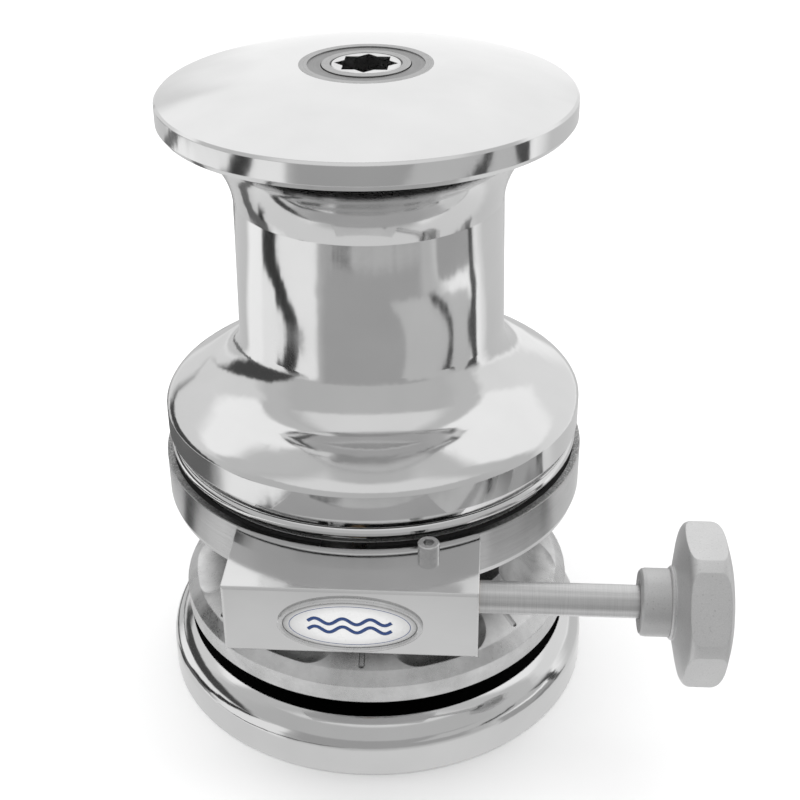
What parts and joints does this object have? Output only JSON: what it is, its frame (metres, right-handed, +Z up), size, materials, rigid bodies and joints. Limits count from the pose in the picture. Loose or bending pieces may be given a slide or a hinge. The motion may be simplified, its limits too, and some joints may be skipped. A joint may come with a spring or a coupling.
{
  "type": "vertical anchor windlass",
  "caption": "Vertical anchor windlass with a polished warping drum above a chain gypsy, held by a hand-screwed band brake on a round deck base.",
  "frame": {"origin": "centre of the base's underside, on the main shaft's axis, at deck level", "axes": "+Z up along the main shaft; -Y towards the brake block; +X towards the brake's hand knob"},
  "size_m": [0.237, 0.2493, 0.2763],
  "materials": {
    "polished_stainless": "mirror-polished stainless steel with fine polishing marks",
    "satin_stainless": "turned or brushed stainless steel",
    "cast_stainless": "vibro-polished casting, satin with a slight pebble",
    "machined_steel": "machined",
    "bearing_steel": "ground bearing steel",
    "fastener_steel": "stainless fastener",
    "spring_steel": "oiled spring steel",
    "bronze": "machined bearing bronze",
    "copper": "soft copper rivet",
    "friction_lining": "woven friction lining, dull and granular",
    "blasted_aluminium": "bead-blasted",
    "seal_rubber": "nitrile rubber",
    "badge_enamel": "domed clear resin over pale enamel"
  },
  "bodies": {
    "base": {"base_casting": "polished_stainless", "lower_bearing_outer_race": "bearing_steel", "lower_bearing_balls": "bearing_steel", "bearing_retaining_ring": "spring_steel", "shaft_seal": "seal_rubber", "anchor_post": "satin_stainless", "anchor_post_washer": "satin_stainless", "anchor_post_nut": "satin_stainless", "chain_stripper": "satin_stainless", "stripper_screw": "fastener_steel"},
    "shaft": {"main_shaft": "satin_stainless", "lower_bearing_inner_race": "bearing_steel", "shaft_circlip": "spring_steel", "lower_clutch_cone": "machined_steel", "cone_key": "machined_steel", "drum_key": "machined_steel", "release_spring": "spring_steel"},
    "gypsy": {"chain_gypsy": "cast_stainless", "gypsy_bush": "bronze"},
    "drum": {"warping_drum": "polished_stainless", "upper_clutch_cone": "polished_stainless", "cone_screws": "fastener_steel", "pressure_washer": "machined_steel", "top_bearing_outer_race": "bearing_steel", "top_bearing_balls": "bearing_steel", "top_bearing_shield": "bearing_steel"},
    "clutch_nut": {"clutch_nut": "satin_stainless", "top_bearing_inner_race": "bearing_steel"},
    "left_jaw": {"left_brake_jaw": "satin_stainless", "left_brake_lining": "friction_lining", "left_lining_rivets": "copper", "left_pivot_bush": "bronze", "brake_block": "polished_stainless", "block_screws": "fastener_steel", "badge_rim": "satin_stainless", "badge_face": "badge_enamel", "spindle_bush": "bronze", "retaining_screw": "fastener_steel"},
    "right_jaw": {"right_brake_jaw": "satin_stainless", "right_brake_lining": "friction_lining", "right_lining_rivets": "copper", "right_pivot_bush": "bronze"},
    "trunnion": {"trunnion_nut": "bronze"},
    "spindle": {"brake_spindle": "satin_stainless", "thrust_collar": "machined_steel", "collar_pin": "fastener_steel", "knob_collar": "satin_stainless", "collar_screw": "fastener_steel", "hand_knob": "blasted_aluminium"}
  },
  "joints": [
    {"name": "shaft_spin", "type": "hinge", "parent": "base", "child": "shaft", "pos_m": [0, 0, 0.0125], "axis": [0, 0, 1], "continuous": true},
    {"name": "gypsy_spin", "type": "hinge", "parent": "base", "child": "gypsy", "pos_m": [0, 0, 0.066], "axis": [0, 0, 1], "continuous": true},
    {"name": "drum_lift", "type": "slide", "parent": "shaft", "child": "drum", "axis": [0, 0, 1], "range_m": [0, 0.001], "stiffness_N_per_m": 4500, "springref_m": 0.02, "deforming": ["release_spring"]},
    {"name": "clutch_nut_turn", "type": "hinge", "parent": "drum", "child": "clutch_nut", "pos_m": [0, 0, 0.2703], "axis": [0, 0, 1], "range_deg": [0, 180]},
    {"name": "left_jaw_swing", "type": "hinge", "parent": "base", "child": "left_jaw", "pos_m": [0, 0.104, 0.107], "axis": [0, 0, 1], "range_deg": [-0.22, 0.22]},
    {"name": "right_jaw_swing", "type": "hinge", "parent": "base", "child": "right_jaw", "pos_m": [0, 0.104, 0.097], "axis": [0, 0, 1], "range_deg": [-0.22, 0.22]},
    {"name": "trunnion_swivel", "type": "hinge", "parent": "right_jaw", "child": "trunnion", "pos_m": [0, -0.098, 0.0982], "axis": [0, 0, 1], "range_deg": [-0.45, 0.45]},
    {"name": "brake_spindle_turn", "type": "hinge", "parent": "left_jaw", "child": "spindle", "pos_m": [0.035, -0.098, 0.0982], "axis": [1, 0, 0], "range_deg": [-360, 360]}
  ],
  "couplings": [
    {"joint": "clutch_nut_turn", "follows": "drum_lift", "rad_per_m": 3141.6},
    {"joint": "left_jaw_swing", "follows": "brake_spindle_turn", "ratio": -0.00059092},
    {"joint": "right_jaw_swing", "follows": "brake_spindle_turn", "ratio": 0.00059092},
    {"joint": "trunnion_swivel", "follows": "brake_spindle_turn", "ratio": -0.0011818}
  ]
}
